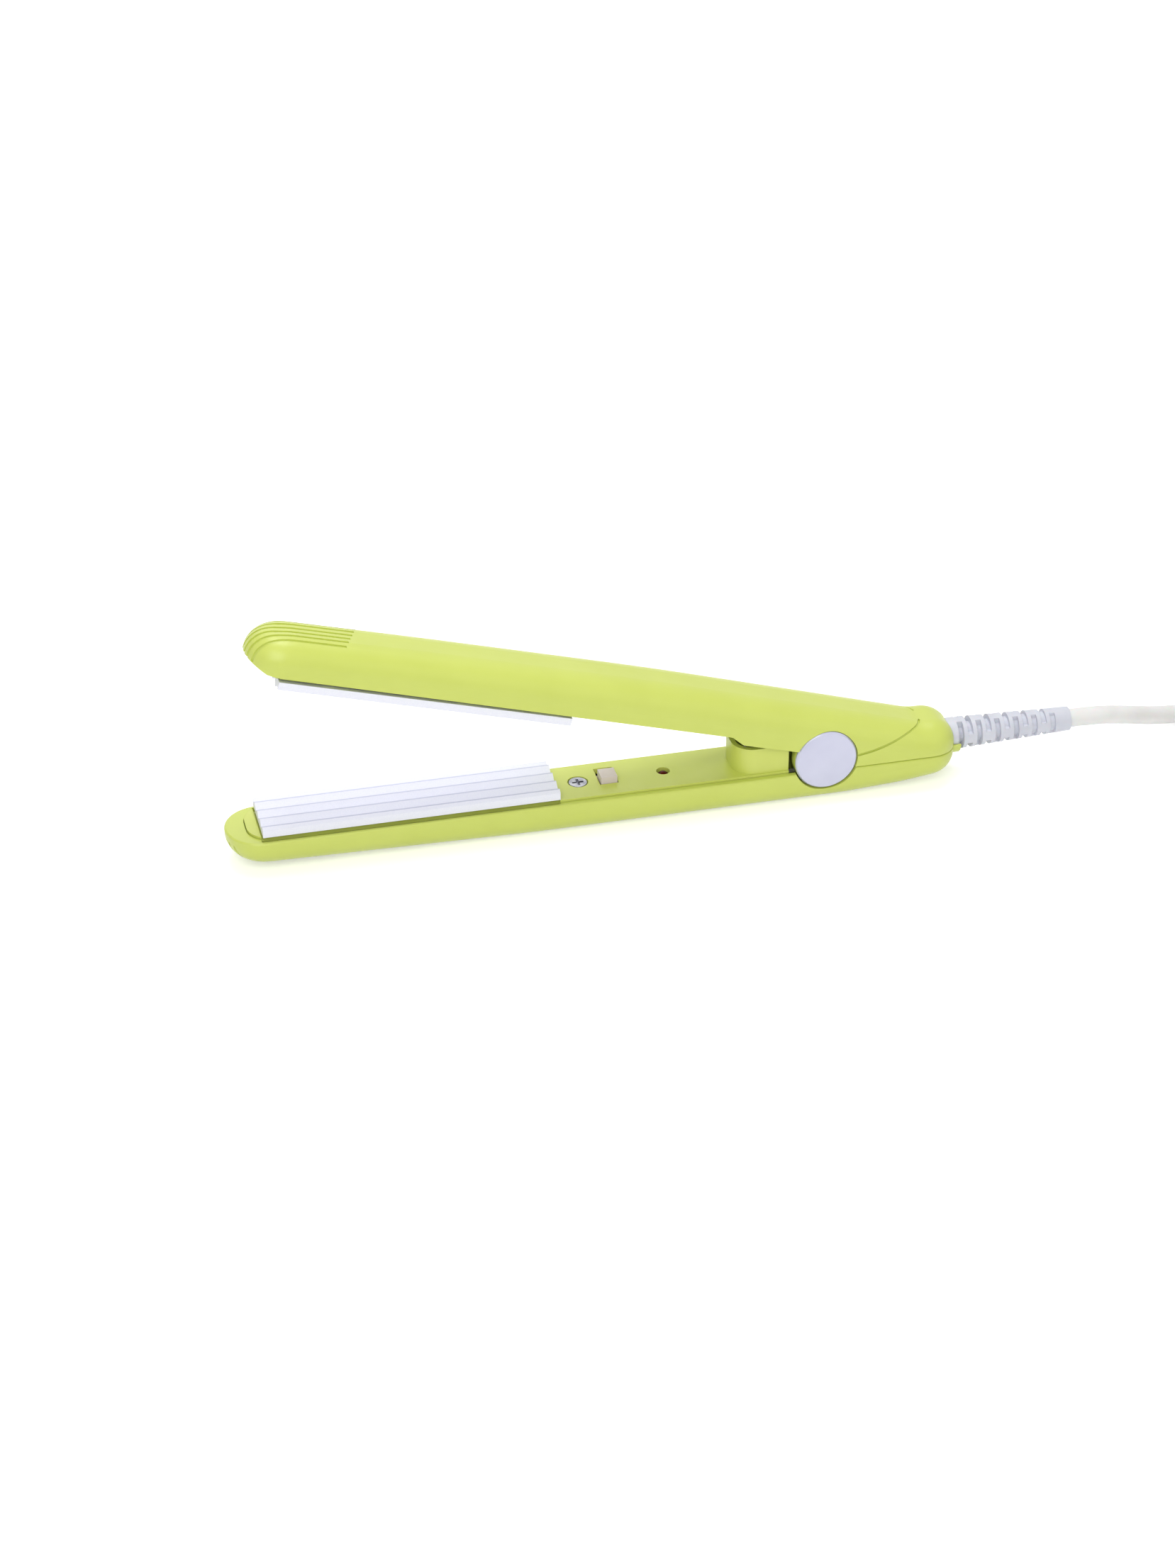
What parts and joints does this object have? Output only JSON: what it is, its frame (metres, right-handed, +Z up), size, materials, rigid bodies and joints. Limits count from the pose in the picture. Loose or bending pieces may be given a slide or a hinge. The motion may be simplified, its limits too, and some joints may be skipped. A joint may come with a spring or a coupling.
{
  "type": "hair crimper",
  "caption": "Slim hand-held hair crimper with corrugated plates on two sprung arms that open at a hinge, a slide switch, a lamp and a coiled cord with a plug.",
  "frame": {"origin": "on the flat of the lower arm's back, right below the hinge axis", "axes": "+X from the jaw tip to the cord, +Y across to the side away from the camera, +Z up from the table through the opened arms"},
  "size_m": [0.4388, 0.0411, 0.0599],
  "materials": {
    "lime_casing": "satin",
    "lime_panel": "satin",
    "plate_coating": "satin",
    "heater_ceramic": "matte ceramic",
    "amber_film": "glossy film",
    "spring_steel": "brushed",
    "zinc_steel": "zinc plated",
    "soft_pad": "matte",
    "switch_black": "matte",
    "contact_brass": "bright",
    "button_beige": "matte",
    "lamp_red": "clear red",
    "board_green": "matte",
    "resistor_tan": "matte",
    "fuse_case": "satin",
    "lead_white": "matte",
    "cap_silver": "satin",
    "washer_nylon": "matte",
    "cord_white": "satin",
    "relief_white": "translucent white"
  },
  "bodies": {
    "lower_arm": {"lower_outer_shell": "lime_casing", "lower_inner_cover": "lime_panel", "lower_crimp_plate": "plate_coating", "lower_heater": "heater_ceramic", "lower_heater_film": "amber_film", "lower_heater_clip": "spring_steel", "lower_plate_pads": "soft_pad", "lower_plate_screws": "zinc_steel", "lower_cover_screw": "zinc_steel", "slide_switch": "switch_black", "switch_terminals": "contact_brass", "indicator_lamp": "lamp_red", "lamp_board": "board_green", "lamp_resistor": "resistor_tan", "thermal_fuse": "fuse_case", "supply_leads": "lead_white", "lower_heater_leads": "lead_white", "jumper_leads": "lead_white", "hinge_pin": "zinc_steel", "hinge_washers": "washer_nylon", "return_spring": "spring_steel", "cord_inner_end": "cord_white", "cord_clamp": "switch_black", "cord_clamp_screws": "zinc_steel", "strain_relief": "relief_white", "cord_lead": "cord_white", "cord_coil": "cord_white", "cord_tail": "cord_white", "coil_tie": "switch_black", "plug_body": "cord_white", "plug_pins": "zinc_steel"},
    "switch_button": {"switch_button": "button_beige"},
    "upper_arm": {"upper_outer_shell": "lime_casing", "upper_inner_cover": "lime_panel", "upper_crimp_plate": "plate_coating", "upper_heater": "heater_ceramic", "upper_heater_film": "amber_film", "upper_heater_clip": "spring_steel", "upper_plate_pads": "soft_pad", "upper_plate_screws": "zinc_steel", "upper_cover_screw": "zinc_steel", "upper_heater_leads": "lead_white", "hinge_cap_near": "cap_silver", "hinge_cap_far": "cap_silver"}
  },
  "joints": [
    {"name": "jaw", "type": "hinge", "parent": "lower_arm", "child": "upper_arm", "pos_m": [0, 0, 0.0119], "axis": [0, -1, 0], "range_deg": [0, 15.7], "stiffness_Nm_per_rad": 0.2, "springref_deg": -14.32, "deforming": ["return_spring"]},
    {"name": "switch", "type": "slide", "parent": "lower_arm", "child": "switch_button", "axis": [0, 1, 0], "range_m": [0, 0.00296]}
  ]
}
